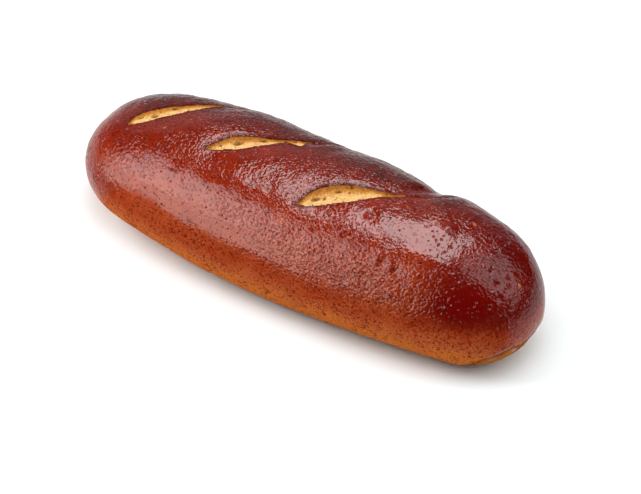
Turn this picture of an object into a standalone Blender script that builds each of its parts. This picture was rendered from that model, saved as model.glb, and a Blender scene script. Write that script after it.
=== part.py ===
"""A pretzel hot dog bun, modelled as one solid.

The bun lies along X with its flat base on Z = 0. X runs from the far end to the
near end and +Y is the back side. A plain loaf form is swollen where the dough
pushed out, then given the relief of its crust: the three opened slashes with
their valleys and raised lips, a crease, and the larger blisters and dents.
"""

import math
from dataclasses import dataclass

import bmesh
import bpy
import numpy as np

# The finished bun, in metres.
LENGTH = 0.165
WIDTH = 0.0541
HEIGHT = 0.0438
BELLY_HEIGHT = 0.383 * HEIGHT  # the widest line of the sides

# Exponents of the rounding: 2 is an ellipse, and more is fuller.
PLAN_FULLNESS, PLAN_CORNER = 3.17, 2.49
CROWN_FULLNESS, CROWN_CORNER = 4.0, 2.14
UNDERSIDE_FULLNESS, UNDERSIDE_CORNER = 5.45, 2.2
TOP_SQUARENESS = 2.27
UNDERSIDE_SQUARENESS = 2.48
SAG = 1.10  # how far the soft underside would reach past the tray that flattens it
TAPER = -0.07  # the near end is this much slimmer, before its swells
BOW = 0.0009  # the middle of the loaf lies this far to the back

# How finely the loaf is divided.
STATIONS = 88
UPPER_RIBS = 46
BASE_RIBS = 8
BASE_RIM_ANGLE = math.radians(52)  # ribs below this angle lie on the tray
STEP = 1e-4  # for normals, in loft parameters
CORE_RADIUS = 0.013  # swells fade out nearer the loaf's core line than this
SHARP_ANGLE = math.radians(50)

# The relief fades out where the crust turns down towards the sides.
LEVEL_ENOUGH = 0.3  # upward share of a normal above which the relief is full

# Slashes.
LEAF_ROWS = 26
LEAF_COLUMNS = 5
VALLEY_DEPTH = 0.0011
VALLEY_REACH = 0.0070
VALLEY_FADE = 0.25  # share of a slash's length over which its valley starts and ends
VALLEY_OVERRUN = 0.20  # share of its length by which the valley runs past both ends
LIP_OFFSET = 0.0016
LIP_REACH = 0.0026
FLOOR_AT_FRONT = 0.00045
FLOOR_AT_BACK = 0.0019
FLOOR_CURVE = 1.3  # exponent of the floor's slope from front to back
TIP_CURVE = 0.6  # exponent of the floor's rise towards both tips
TIP_CLEARANCE = 0.0004
CUTTER_TOP = HEIGHT + 0.006

# Creases and spots.
CREASE_FADE = 0.2  # share of a crease's length over which it starts and ends
PIT_SHARPNESS = 2.2  # how much narrower a blister's pit is than the blister

CRUST_COLOUR = (0.155, 0.010, 0.004, 1.0)
CRUST_ROUGHNESS = 0.28


@dataclass(frozen=True)
class Swell:
    """A broad push (or dip, when negative) of the loaf, placed by station and section angle."""

    station: float
    angle: float
    push: float
    station_reach: float
    angle_reach: float


@dataclass(frozen=True)
class Slash:
    """A cut that opened into a leaf: it runs from its sharp far tip along its heading."""

    name: str
    tip: tuple[float, float]
    heading: float
    length: float
    back_bulge: float
    front_bulge: float
    rise: float  # exponent of the leaf towards its tip
    fall: float  # exponent of the leaf towards its tail
    lip: float


@dataclass(frozen=True)
class Spot:
    """A blister (positive height) or a dent (negative), with an optional pit in its middle."""

    place: tuple[float, float]
    radius: float
    height: float
    pit: float = 0.0


@dataclass(frozen=True)
class Crease:
    """A narrow fold in the crust between two places."""

    start: tuple[float, float]
    end: tuple[float, float]
    depth: float
    reach: float


SWELLS = (
    Swell(-0.33, math.radians(45), 0.0005, 0.12, math.radians(40)),
    Swell(0.18, math.radians(45), 0.0008, 0.11, math.radians(40)),
    Swell(0.58, math.radians(45), 0.0015, 0.13, math.radians(45)),
    Swell(0.82, math.radians(45), 0.0024, 0.15, math.radians(45)),
    Swell(0.45, math.radians(50), -0.0016, 0.06, math.radians(35)),
    Swell(-0.62, math.radians(225), -0.0016, 0.20, math.radians(40)),
    Swell(0.00, math.radians(225), 0.0015, 0.35, math.radians(40)),
    Swell(0.82, math.radians(225), 0.0015, 0.14, math.radians(40)),
)

SLASHES = (
    Slash("slash_far", (-0.0643, -0.0080), math.radians(42), 0.0356, 0.0034, 0.0027, 0.7, 1.5, 0.0006),
    Slash("slash_middle", (-0.0333, -0.0080), math.radians(38), 0.0325, 0.0037, 0.0022, 0.8, 1.9, 0.0008),
    Slash("slash_near", (0.0040, -0.0133), math.radians(34.5), 0.0295, 0.0056, 0.0021, 0.9, 1.25, 0.0009),
)

CREASES = (
    Crease((0.0270, 0.0030), (0.0350, 0.0150), 0.0010, 0.0020),
    Crease((-0.0090, 0.0105), (-0.0030, 0.0150), 0.0005, 0.0018),
)

SPOTS = (
    Spot((0.0275, -0.0072), 0.0030, 0.0008, 0.0010),
    Spot((0.0508, -0.0004), 0.0021, 0.0006),
    Spot((0.0370, -0.0177), 0.0028, 0.0006, 0.0008),
    Spot((0.0419, -0.0185), 0.0024, -0.0005),
    Spot((0.0678, -0.0042), 0.0020, -0.0005),
    Spot((0.0710, -0.0066), 0.0020, -0.0006),
    Spot((0.0748, -0.0036), 0.0022, -0.0005),
    Spot((0.0738, -0.0081), 0.0020, 0.0004),
    Spot((-0.0583, -0.0112), 0.0024, 0.0004),
    Spot((-0.0484, -0.0090), 0.0024, 0.0004),
)


def rounded(reach, fullness, corner):
    """The share of full size left at a reach from 0, the middle, to 1, the end."""
    return np.clip(1 - np.abs(reach) ** fullness, 0, 1) ** (1 / corner)


def squared(value, squareness):
    """A sine or cosine pushed outwards, which turns a circle into a squarer oval."""
    return np.sign(value) * np.abs(value) ** (2 / squareness)


def core_line(station):
    """The sideways place of the loaf's core line."""
    return BOW * (1 - station**2)


def half_width(station):
    """Half of the plain loaf's width at a station."""
    return WIDTH / 2 * rounded(station, PLAN_FULLNESS, PLAN_CORNER) * (1 + TAPER * station)


def crown_height(station):
    """How far the plain loaf's crown stands above its belly line at a station."""
    return (HEIGHT - BELLY_HEIGHT) * rounded(station, CROWN_FULLNESS, CROWN_CORNER)


def loaf(station, angle):
    """The swollen loaf's points at stations from -1 to 1 and at section angles."""
    cosine, sine = np.cos(angle), np.sin(angle)
    upper = sine >= 0
    squareness = np.where(upper, TOP_SQUARENESS, UNDERSIDE_SQUARENESS)
    depth = BELLY_HEIGHT * SAG * rounded(station, UNDERSIDE_FULLNESS, UNDERSIDE_CORNER)
    across = half_width(station) * squared(cosine, squareness)
    above = np.where(upper, crown_height(station), depth) * squared(sine, squareness)
    radius = np.hypot(across, above) + 1e-9
    direction = np.arctan2(above, across)
    push = sum(
        swell.push
        * np.exp(-(((station - swell.station) / swell.station_reach) ** 2))
        * np.exp(-((turn_between(direction, swell.angle) / swell.angle_reach) ** 2))
        for swell in SWELLS
    )
    grown = 1 + push * np.minimum(1, radius / CORE_RADIUS) / radius
    height = np.maximum(BELLY_HEIGHT + above * grown, 0)
    return np.stack([station * LENGTH / 2, core_line(station) + across * grown, height], axis=-1)


def turn_between(angle, other):
    """The angle between two directions, from -pi to pi."""
    return (angle - other + math.pi) % (2 * math.pi) - math.pi


def outward(station, angle):
    """Unit normals of the swollen loaf."""
    inner = np.clip(station, -1 + 2 * STEP, 1 - 2 * STEP)
    along = loaf(inner + STEP, angle) - loaf(inner - STEP, angle)
    around = loaf(inner, angle + STEP) - loaf(inner, angle - STEP)
    normal = np.cross(around, along)
    return normal / (np.linalg.norm(normal, axis=-1, keepdims=True) + 1e-15)


def place_on_top(x, y):
    """The station and section angle of the plain loaf's top at a place seen from above."""
    station = np.clip(np.asarray(x, float) * 2 / LENGTH, -0.999, 0.999)
    share = np.clip((np.asarray(y, float) - core_line(station)) / half_width(station), -0.999, 0.999)
    cosine = np.sign(share) * np.abs(share) ** (TOP_SQUARENESS / 2)
    return station, np.arccos(cosine)


def leaf(slash, share):
    """A slash's width at a share of its length, as a share of its greatest width."""
    middle = slash.rise / (slash.rise + slash.fall)
    widest = middle**slash.rise * (1 - middle) ** slash.fall
    inside = np.clip(share, 0, 1)
    return inside**slash.rise * (1 - inside) ** slash.fall / widest


def slash_place(slash, share, across):
    """The place seen from above at a share of a slash's length and a distance across it."""
    along = share * slash.length
    x = slash.tip[0] + along * math.cos(slash.heading) - across * math.sin(slash.heading)
    y = slash.tip[1] + along * math.sin(slash.heading) + across * math.cos(slash.heading)
    return x, y


def slash_coordinates(slash, x, y):
    """The share of a slash's length, and the distance across it, of places seen from above."""
    dx, dy = x - slash.tip[0], y - slash.tip[1]
    along = dx * math.cos(slash.heading) + dy * math.sin(slash.heading)
    across = dy * math.cos(slash.heading) - dx * math.sin(slash.heading)
    return along / slash.length, across


def eased(value, low, high):
    """0 below low and 1 above high, with a smooth rise between."""
    share = np.clip((value - low) / (high - low), 0, 1)
    return share * share * (3 - 2 * share)


def slash_relief(slash, x, y):
    """The valley that a slash lies in, and the lip raised along its back edge."""
    share, across = slash_coordinates(slash, x, y)
    start = eased(share, -VALLEY_OVERRUN, VALLEY_FADE)
    end = eased(share, 1 - VALLEY_FADE, 1 + VALLEY_OVERRUN)
    valley = -VALLEY_DEPTH * np.exp(-((across / VALLEY_REACH) ** 2))
    crest = across - slash.back_bulge * leaf(slash, share) - LIP_OFFSET
    lip = slash.lip * np.exp(-((crest / LIP_REACH) ** 2))
    return start * (1 - end) * (valley + lip)


def crease_relief(crease, x, y):
    """A fold that fades out at both ends."""
    run = np.subtract(crease.end, crease.start)
    length = np.hypot(*run)
    dx, dy = x - crease.start[0], y - crease.start[1]
    share = (dx * run[0] + dy * run[1]) / length**2
    across = (dy * run[0] - dx * run[1]) / length
    start = eased(share, -CREASE_FADE, CREASE_FADE)
    end = eased(share, 1 - CREASE_FADE, 1 + CREASE_FADE)
    return -crease.depth * start * (1 - end) * np.exp(-((across / crease.reach) ** 2))


def spot_relief(spot, points):
    """A round rise or dip, measured along the crust from its middle."""
    centre = loaf(*place_on_top(*spot.place))
    away = np.linalg.norm(points - centre, axis=-1) / spot.radius
    return spot.height * np.exp(-(away**2)) - spot.pit * np.exp(-((PIT_SHARPNESS * away) ** 2))


def crust(station, angle):
    """The bun's finished surface: the loaf with its relief pushed along its normals."""
    station, angle = np.broadcast_arrays(station, angle)
    points = loaf(station, angle)
    normals = outward(station, angle)
    x, y = points[..., 0], points[..., 1]
    relief = sum(slash_relief(slash, x, y) for slash in SLASHES)
    relief = relief + sum(crease_relief(crease, x, y) for crease in CREASES)
    relief = relief + sum(spot_relief(spot, points) for spot in SPOTS)
    on_top = eased(normals[..., 2], 0.0, LEVEL_ENOUGH)
    return points + normals * (relief * on_top)[..., None]


def rib_angles():
    """Section angles: close together on the crust and few on the flat base."""
    upper = np.linspace(-BASE_RIM_ANGLE, math.pi + BASE_RIM_ANGLE, UPPER_RIBS)
    base = np.linspace(math.pi + BASE_RIM_ANGLE, 2 * math.pi - BASE_RIM_ANGLE, BASE_RIBS + 2)
    return np.concatenate([upper, base[1:-1]])


def loaf_mesh():
    """The loaf as a closed mesh: rings at stations that crowd towards both ends."""
    stations = -np.cos(np.linspace(0, math.pi, STATIONS + 1))[1:-1]
    angles = rib_angles()
    rings = crust(stations[:, None], angles[None, :])
    tips = crust(np.array([-1.0, 1.0]), np.zeros(2))
    bm = bmesh.new()
    ring_verts = [[bm.verts.new(point) for point in ring] for ring in rings]
    count = len(angles)
    for ring, following in zip(ring_verts, ring_verts[1:]):
        for i in range(count):
            j = (i + 1) % count
            bm.faces.new((ring[i], ring[j], following[j], following[i]))
    for tip, ring in ((tips[0], ring_verts[0]), (tips[1], ring_verts[-1])):
        centre = bm.verts.new(tip)
        for i in range(count):
            bm.faces.new((centre, ring[i], ring[(i + 1) % count]))
    bmesh.ops.recalc_face_normals(bm, faces=bm.faces)
    mesh = bpy.data.meshes.new("bun")
    bm.to_mesh(mesh)
    bm.free()
    return mesh


def floor_depth(share, column):
    """How far a slash's floor lies below the crust, from its front edge, 0, to its back edge, 1."""
    body = FLOOR_AT_FRONT + (FLOOR_AT_BACK - FLOOR_AT_FRONT) * column**FLOOR_CURVE
    tips = np.clip(4 * share * (1 - share), 0, 1) ** TIP_CURVE
    return body * tips - TIP_CLEARANCE * (1 - tips)


def slash_cutter(slash):
    """The space that an opened slash leaves: a leaf with the crumb floor below and open air above."""
    shares = 0.5 - 0.49 * np.cos(np.linspace(0, math.pi, LEAF_ROWS))
    columns = np.linspace(0, 1, LEAF_COLUMNS)
    bm = bmesh.new()
    rows = []
    for share in shares:
        width = leaf(slash, share)
        across = (columns * (slash.back_bulge + slash.front_bulge) - slash.front_bulge) * width
        x, y = slash_place(slash, share, across)
        floor = crust(*place_on_top(x, y))[:, 2] - floor_depth(share, columns)
        rows.append([bm.verts.new(point) for point in zip(x, y, floor)])
    for row, following in zip(rows, rows[1:]):
        for i in range(LEAF_COLUMNS - 1):
            bm.faces.new((row[i], following[i], following[i + 1], row[i + 1]))
    raised = bmesh.ops.extrude_face_region(bm, geom=bm.faces[:])
    for element in raised["geom"]:
        if isinstance(element, bmesh.types.BMVert):
            element.co.z = CUTTER_TOP
    bmesh.ops.recalc_face_normals(bm, faces=bm.faces)
    mesh = bpy.data.meshes.new(slash.name)
    bm.to_mesh(mesh)
    bm.free()
    cutter = bpy.data.objects.new(slash.name, mesh)
    bpy.context.scene.collection.objects.link(cutter)
    cutter.hide_render = True
    cutter.display_type = "WIRE"
    return cutter


def centred_on_origin(mesh, objects):
    """Move everything so that the middle of the mesh's box stands over the origin."""
    points = np.array([vertex.co for vertex in mesh.vertices])
    middle = (points.min(axis=0) + points.max(axis=0)) / 2
    for obj in objects:
        for vertex in obj.data.vertices:
            vertex.co.x -= middle[0]
            vertex.co.y -= middle[1]


def crust_material():
    """Dark, glossy baked crust."""
    material = bpy.data.materials.new("crust")
    material.use_nodes = True
    surface = material.node_tree.nodes["Principled BSDF"]
    surface.inputs["Base Color"].default_value = CRUST_COLOUR
    surface.inputs["Roughness"].default_value = CRUST_ROUGHNESS
    surface.inputs["Metallic"].default_value = 0.0
    return material


def clear_scene():
    """Remove whatever the scene holds."""
    for obj in list(bpy.data.objects):
        bpy.data.objects.remove(obj, do_unlink=True)


def main():
    """Build the bun and cut its slashes."""
    clear_scene()
    bun = bpy.data.objects.new("bun", loaf_mesh())
    bpy.context.scene.collection.objects.link(bun)
    cutters = [slash_cutter(slash) for slash in SLASHES]
    centred_on_origin(bun.data, [bun, *cutters])
    for cutter in cutters:
        opening = bun.modifiers.new(cutter.name, "BOOLEAN")
        opening.operation = "DIFFERENCE"
        opening.solver = "EXACT"
        opening.object = cutter
    bun.data.materials.append(crust_material())
    bun.data.shade_smooth()
    bun.data.set_sharp_from_angle(angle=SHARP_ANGLE)


main()
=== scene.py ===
"""The looks of a pretzel hot dog bun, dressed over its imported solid.

The bun lies along X with its flat base on Z = 0. X runs from its far end to its
near end and +Y is its back. The crust is moulded to the solid's own form with
the finer relief of baked dough, its slashes are cut open, and crumb is laid in
them. Sizes are in metres. Tables that say so are in millimetres, and so are the
formulas over points that were divided by MM.
"""

import logging
import math
from collections.abc import Callable
from dataclasses import dataclass
from enum import Enum

import bpy
import numpy as np
from mathutils import Matrix, Vector, noise


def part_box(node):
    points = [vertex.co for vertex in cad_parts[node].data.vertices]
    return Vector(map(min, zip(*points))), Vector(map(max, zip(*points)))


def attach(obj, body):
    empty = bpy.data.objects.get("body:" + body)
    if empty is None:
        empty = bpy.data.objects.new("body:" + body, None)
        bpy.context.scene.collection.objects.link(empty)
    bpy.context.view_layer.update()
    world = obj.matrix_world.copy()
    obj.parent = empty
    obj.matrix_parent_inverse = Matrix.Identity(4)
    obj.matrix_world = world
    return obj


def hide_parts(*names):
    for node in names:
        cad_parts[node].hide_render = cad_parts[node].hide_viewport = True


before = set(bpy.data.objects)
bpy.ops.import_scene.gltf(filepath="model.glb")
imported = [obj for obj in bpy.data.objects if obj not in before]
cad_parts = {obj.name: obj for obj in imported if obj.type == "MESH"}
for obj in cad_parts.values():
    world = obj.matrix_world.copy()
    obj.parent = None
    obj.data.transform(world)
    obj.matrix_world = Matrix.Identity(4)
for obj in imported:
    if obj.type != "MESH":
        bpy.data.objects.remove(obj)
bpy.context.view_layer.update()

Array = np.ndarray
Pair = tuple[float, float]
Point = tuple[float, float, float]
Colour = tuple[float, float, float, float]
Row = tuple[float, float, float, float]
Piece = bpy.types.Object
Output = bpy.types.NodeSocket
LOG = logging.getLogger("bun")
LAMP_DISTANCE = 0.75
LAMP_SIZE = (0.5, 0.5)
MM = 0.001


class Slot(Enum):
    """The record's material slots."""

    CRUST = "crust"
    CRUMB = "crumb"


class Layer(Enum):
    """What is painted on the pieces' points, for their materials to read."""

    BAKE = "bake_and_shade"
    DEEP = "deep"
    GLAZE = "glaze"
    PEEL = "peel"
    GRIT = "grit"
    SCORCH = "scorch_and_shade"
    STRIP = "strip"
    SEAM = "seam"
    GOLD = "gold"
    DARK = "dark"
    FLOUR = "flour"
    TOAST = "toast_and_shade"
    HOLLOW = "shaded_hollow"


# --- Shaping by formula ---------------------------------------------------------------


def eased(value: Array, low: float, high: float) -> Array:
    """Give 0 below low and 1 above high, with a smooth rise between."""
    share = np.clip((value - low) / (high - low), 0, 1)
    return share * share * (3 - 2 * share)


def hump(value: Array, middle: float, reach: float) -> Array:
    """Give a smooth hump of height 1, which has fallen to about a third at its reach."""
    return np.exp(-(((value - middle) / reach) ** 2))


def held(share: Array, beyond: float, within: float) -> Array:
    """Give 1 along a run from 0 to 1, fading from within its ends to beyond them."""
    return eased(share, -beyond, within) * (1 - eased(share, 1 - within, 1 + beyond))


def grain(points: Array, *lumps: Point) -> Array:
    """Add up smooth noises.

    Args:
        points: The points, one in each row.
        *lumps: For each noise its lumps' size in millimetres, its seed and its height.

    Returns:
        The sum at each point.
    """
    total = np.zeros(len(points))
    for size, seed, height in lumps:
        shifted = points / (size * MM) + np.array([seed, -seed * 0.7, seed * 1.3])
        total += height * np.array([noise.noise(place) for place in shifted.tolist()])
    return total


# --- Mesh tools -----------------------------------------------------------------------


def start_from(primitive: Callable[..., set], name: str, **settings: object) -> Piece:
    """Add a primitive with nothing else selected.

    Args:
        primitive: One of Blender's operators that add a mesh.
        name: The new piece's name.
        **settings: What the operator is given.

    Returns:
        The new piece.
    """
    bpy.ops.object.select_all(action="DESELECT")
    primitive(**settings)
    started = bpy.context.object
    started.name = started.data.name = name
    bpy.ops.object.transform_apply(location=True, rotation=True, scale=True)
    return started


def rows_of(piece: Piece, kind: str = "co") -> Array:
    """Read a piece's vertices.

    Args:
        piece: The piece.
        kind: What to read: "co" for their places, or "normal".

    Returns:
        The places or normals, one in each row.
    """
    flat = np.empty(len(piece.data.vertices) * 3, np.float32)
    piece.data.vertices.foreach_get(kind, flat)
    return flat.reshape(-1, 3).astype(float)


def ribbon(name: str, rows: int, lanes: int) -> tuple[Piece, Array, Array]:
    """Start a flat net that will be moulded along a slash.

    Args:
        name: The net's name.
        rows: How many divisions it has along the slash.
        lanes: How many it has across.

    Returns:
        The net, and how far along and how far across its points are, from 0 to 1.
    """
    grid = bpy.ops.mesh.primitive_grid_add
    net = start_from(grid, name, x_subdivisions=rows, y_subdivisions=lanes, size=2)
    along, across, _ = (rows_of(net).T + 1) / 2
    return net, along, across


def mould(piece: Piece, points: Array) -> None:
    """Move a piece's vertices to new places."""
    piece.data.vertices.foreach_set("co", np.asarray(points, np.float32).ravel())
    piece.data.update()


def paint(piece: Piece, layer: Layer, values: Array) -> None:
    """Store one number a vertex in a layer that materials read."""
    target = piece.data.attributes.new(layer.value, "FLOAT", "POINT")
    target.data.foreach_set("value", np.asarray(values, np.float32).ravel())


def choose(piece: Piece) -> None:
    """Select one piece alone and make it the active one.

    Args:
        piece: The piece that the next operator works on.
    """
    bpy.ops.object.select_all(action="DESELECT")
    piece.select_set(True)
    bpy.context.view_layer.objects.active = piece


def finish_with(piece: Piece, kind: str, **settings: object) -> None:
    """Add a modifier to a piece and apply it.

    Args:
        piece: The piece that the modifier changes.
        kind: The modifier's type.
        **settings: The modifier's settings.
    """
    choose(piece)
    modifier = piece.modifiers.new(kind.lower(), kind)
    for key, value in settings.items():
        setattr(modifier, key, value)
    bpy.ops.object.modifier_apply(modifier=modifier.name)


def shade(piece: Piece, angle: float) -> None:
    """Shade a piece smooth, but sharp along edges that turn by more than an angle."""
    choose(piece)
    bpy.ops.object.shade_smooth_by_angle(angle=angle)


# --- The bun's form -------------------------------------------------------------------


@dataclass(frozen=True)
class Swell:
    """A push of the loaf in millimetres, by station and by degrees round its section."""

    station: float
    angle: float
    push: float
    station_reach: float
    angle_reach: float

    def push_at(self, station: Array, direction: Array) -> Array:
        """Give the push.

        Args:
            station: The stations to look at.
            direction: Their directions round the section.

        Returns:
            The push at each of them, in metres.
        """
        turned = (direction - math.radians(self.angle) + math.pi) % (2 * math.pi) - math.pi
        round_it = hump(turned, 0.0, math.radians(self.angle_reach))
        return self.push * MM * hump(station, self.station, self.station_reach) * round_it


@dataclass(frozen=True)
class Loaf:
    """The plain loaf: its rounding in plan and section, and where its dough pushed out."""

    length: float = 0.165
    width: float = 0.0541
    height: float = 0.0438
    belly_height: float = 0.383 * 0.0438
    plan: Pair = (3.17, 2.49)
    crown: Pair = (4.0, 2.14)
    underside: Pair = (5.45, 2.2)
    top_squareness: float = 2.27
    underside_squareness: float = 2.48
    sag: float = 1.10
    taper: float = -0.07
    bow: float = 0.0009
    core_radius: float = 0.013
    step: float = 1e-4
    swells: tuple[Swell, ...] = (
        Swell(-0.33, 45, 0.5, 0.12, 40),
        Swell(0.18, 45, 0.8, 0.11, 40),
        Swell(0.58, 45, 1.5, 0.13, 45),
        Swell(0.82, 45, 2.4, 0.15, 45),
        Swell(0.45, 50, -1.6, 0.06, 35),
        Swell(-0.62, 225, -1.6, 0.20, 40),
        Swell(0.00, 225, 1.5, 0.35, 40),
        Swell(0.82, 225, 1.5, 0.14, 40),
    )

    @staticmethod
    def rounded(reach: Array, form: Pair) -> Array:
        """Give the share of full size left at a reach from 0, the middle, to 1, the end."""
        return np.clip(1 - np.abs(reach) ** form[0], 0, 1) ** (1 / form[1])

    @staticmethod
    def squared(value: Array, squareness: Array) -> Array:
        """Push a sine or cosine outwards, which turns a circle into a squarer oval."""
        return np.sign(value) * np.abs(value) ** (2 / squareness)

    def core_line(self, station: Array) -> Array:
        """Give the sideways place of the loaf's core line."""
        return self.bow * (1 - station**2)

    def half_width(self, station: Array) -> Array:
        """Give half of the plain loaf's width."""
        return self.width / 2 * self.rounded(station, self.plan) * (1 + self.taper * station)

    def points(self, station: Array, angle: Array) -> Array:
        """Give the swollen loaf's surface.

        Args:
            station: From -1, the far tip, to 1, the near tip.
            angle: Round the section, from 0 at the back, over the crown.

        Returns:
            Points, with the last axis for X, Y and Z.
        """
        cosine, sine = np.cos(angle), np.sin(angle)
        upper = sine >= 0
        squareness = np.where(upper, self.top_squareness, self.underside_squareness)
        rise = (self.height - self.belly_height) * self.rounded(station, self.crown)
        depth = self.belly_height * self.sag * self.rounded(station, self.underside)
        across = self.half_width(station) * self.squared(cosine, squareness)
        above = np.where(upper, rise, depth) * self.squared(sine, squareness)
        radius = np.hypot(across, above) + 1e-9
        direction = np.arctan2(above, across)
        push = sum(swell.push_at(station, direction) for swell in self.swells)
        grown = 1 + push * np.minimum(1, radius / self.core_radius) / radius
        height = np.maximum(self.belly_height + above * grown, 0)
        side = self.core_line(station) + across * grown
        return np.stack([station * self.length / 2, side, height], axis=-1)

    def normals(self, station: Array, angle: Array) -> Array:
        """Give the swollen loaf's outward unit normals.

        Args:
            station: The points' stations.
            angle: Their angles round the section.

        Returns:
            Normals, with the last axis for X, Y and Z.
        """
        inner = np.clip(station, -1 + 2 * self.step, 1 - 2 * self.step)
        along = self.points(inner + self.step, angle) - self.points(inner - self.step, angle)
        around = self.points(inner, angle + self.step) - self.points(inner, angle - self.step)
        normal = np.cross(around, along)
        return normal / (np.linalg.norm(normal, axis=-1, keepdims=True) + 1e-15)

    def place_on_top(self, x: Array, y: Array) -> tuple[Array, Array]:
        """Find places on the plain loaf's top.

        Args:
            x: The places' X.
            y: The places' Y.

        Returns:
            Their stations and their angles round the section.
        """
        station = np.clip(np.asarray(x, float) * 2 / self.length, -0.999, 0.999)
        share = (np.asarray(y, float) - self.core_line(station)) / self.half_width(station)
        share = np.clip(share, -0.999, 0.999)
        return station, np.arccos(np.sign(share) * np.abs(share) ** (self.top_squareness / 2))


@dataclass(frozen=True)
class Slash:
    """A cut that opened into a ragged leaf, which runs from its sharp far tip.

    Its edges are rows of a percentage of its length and a distance across it in
    hundredths of a millimetre. Its pores are rows of a share of its length, a share
    of its width, and the pore's reach along and across in millimetres.
    """

    name: str
    tip: Pair
    heading: float
    length: float
    lip: float
    front: tuple[Pair, ...]
    back: tuple[Pair, ...]
    pores: tuple[Row, ...]
    valley_depth: float = 1.1 * MM
    valley_reach: float = 7.0 * MM
    valley_fade: float = 0.25
    valley_overrun: float = 0.20
    lip_offset: float = 1.6 * MM
    lip_reach: float = 2.6 * MM
    ragged: float = 0.06 * MM
    narrowest: float = 0.15 * MM

    @property
    def span(self) -> Pair:
        """Give the shares of the length at which the opening starts and ends."""
        return self.front[0][0] / 100, self.front[-1][0] / 100

    def place(self, share: Array, across: Array) -> tuple[Array, Array]:
        """Find places seen from above.

        Args:
            share: Their shares of the slash's length.
            across: Their distances across it.

        Returns:
            Their X and their Y.
        """
        turn, along = self.heading, share * self.length
        x = self.tip[0] + along * math.cos(turn) - across * math.sin(turn)
        return x, self.tip[1] + along * math.sin(turn) + across * math.cos(turn)

    def coordinates(self, x: Array, y: Array) -> tuple[Array, Array]:
        """Find places on the slash.

        Args:
            x: The places' X.
            y: The places' Y.

        Returns:
            Their shares of its length and their distances across it.
        """
        dx, dy, turn = x - self.tip[0], y - self.tip[1], self.heading
        along = dx * math.cos(turn) + dy * math.sin(turn)
        return along / self.length, dy * math.cos(turn) - dx * math.sin(turn)

    @staticmethod
    def edge(rows: tuple[Pair, ...], share: Array) -> Array:
        """Give how far across an edge lies, by its rows."""
        percents, distances = np.transpose(rows)
        return np.interp(share, percents / 100, distances / 100 * MM)

    def edges(self, share: Array) -> tuple[Array, Array]:
        """Give how far across the torn opening's front and back edges lie.

        Args:
            share: The share of the slash's length.

        Returns:
            The distances across of the front edge and of the back edge.
        """
        row = np.stack([share * self.length, np.zeros_like(share), np.zeros_like(share)], -1)
        first = self.tip[0] * 900
        front, back = (
            self.edge(rows, share) + grain(row, (2.0, seed, 1.0), (0.7, seed, 0.6)) * self.ragged
            for rows, seed in ((self.front, first), (self.back, first + 40))
        )
        return front, np.maximum(back, front + self.narrowest)

    def relief(self, x: Array, y: Array, lips: float = 1.0) -> Array:
        """Give the valley that the slash lies in and the lip along its back edge.

        Args:
            x: The places' X.
            y: The places' Y.
            lips: How much of the lip there is.

        Returns:
            How far the crust is pushed out at each place.
        """
        share, across = self.coordinates(x, y)
        valley = -self.valley_depth * hump(across, 0.0, self.valley_reach)
        crest = across - self.edge(self.back, share) - self.lip_offset
        lip = lips * self.lip * hump(crest, 0.0, self.lip_reach)
        return held(share, self.valley_overrun, self.valley_fade) * (valley + lip)

    def outside(self, x: Array, y: Array) -> Array:
        """Give how far places lie outside the opening, seen from above.

        Args:
            x: The places' X.
            y: The places' Y.

        Returns:
            The distances, which are 0 inside.
        """
        share, across = self.coordinates(x, y)
        front, back = self.edge(self.front, share), self.edge(self.back, share)
        sideways = np.maximum(np.maximum(front - across, across - back), 0)
        beyond = np.maximum(np.maximum(self.span[0] - share, share - self.span[1]), 0)
        return np.hypot(sideways, beyond * self.length)


@dataclass(frozen=True)
class Spot:
    """A blister, or a dent when negative, with an optional pit in its middle, in millimetres."""

    place: Pair
    radius: float
    height: float
    pit: float = 0.0
    pit_sharpness: float = 2.2

    def relief(self, loaf: Loaf, points: Array) -> Array:
        """Give the spot's rise along the crust's normals.

        Args:
            loaf: The loaf that the spot is on.
            points: The loaf's points.

        Returns:
            The rise in metres at each point.
        """
        middle = loaf.points(*loaf.place_on_top(*np.multiply(self.place, MM)))
        away = np.linalg.norm(points - middle, axis=-1) / (self.radius * MM)
        pit = self.pit * hump(away * self.pit_sharpness, 0.0, 1.0)
        return (self.height * hump(away, 0.0, 1.0) - pit) * MM


@dataclass(frozen=True)
class Crease:
    """A narrow fold in the crust between two places, in millimetres."""

    start: Pair
    end: Pair
    depth: float
    reach: float
    fade: float = 0.2

    def relief(self, x: Array, y: Array) -> Array:
        """Give the fold, which fades out at both ends.

        Args:
            x: The places' X.
            y: The places' Y.

        Returns:
            How far the crust is pushed out at each place, in metres.
        """
        run = np.subtract(self.end, self.start)
        dx, dy = x / MM - self.start[0], y / MM - self.start[1]
        share = (dx * run[0] + dy * run[1]) / (run @ run)
        across = (dy * run[0] - dx * run[1]) / np.hypot(*run)
        depth = self.depth * MM * hump(across, 0.0, self.reach)
        return -depth * held(share, self.fade, self.fade)


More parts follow.
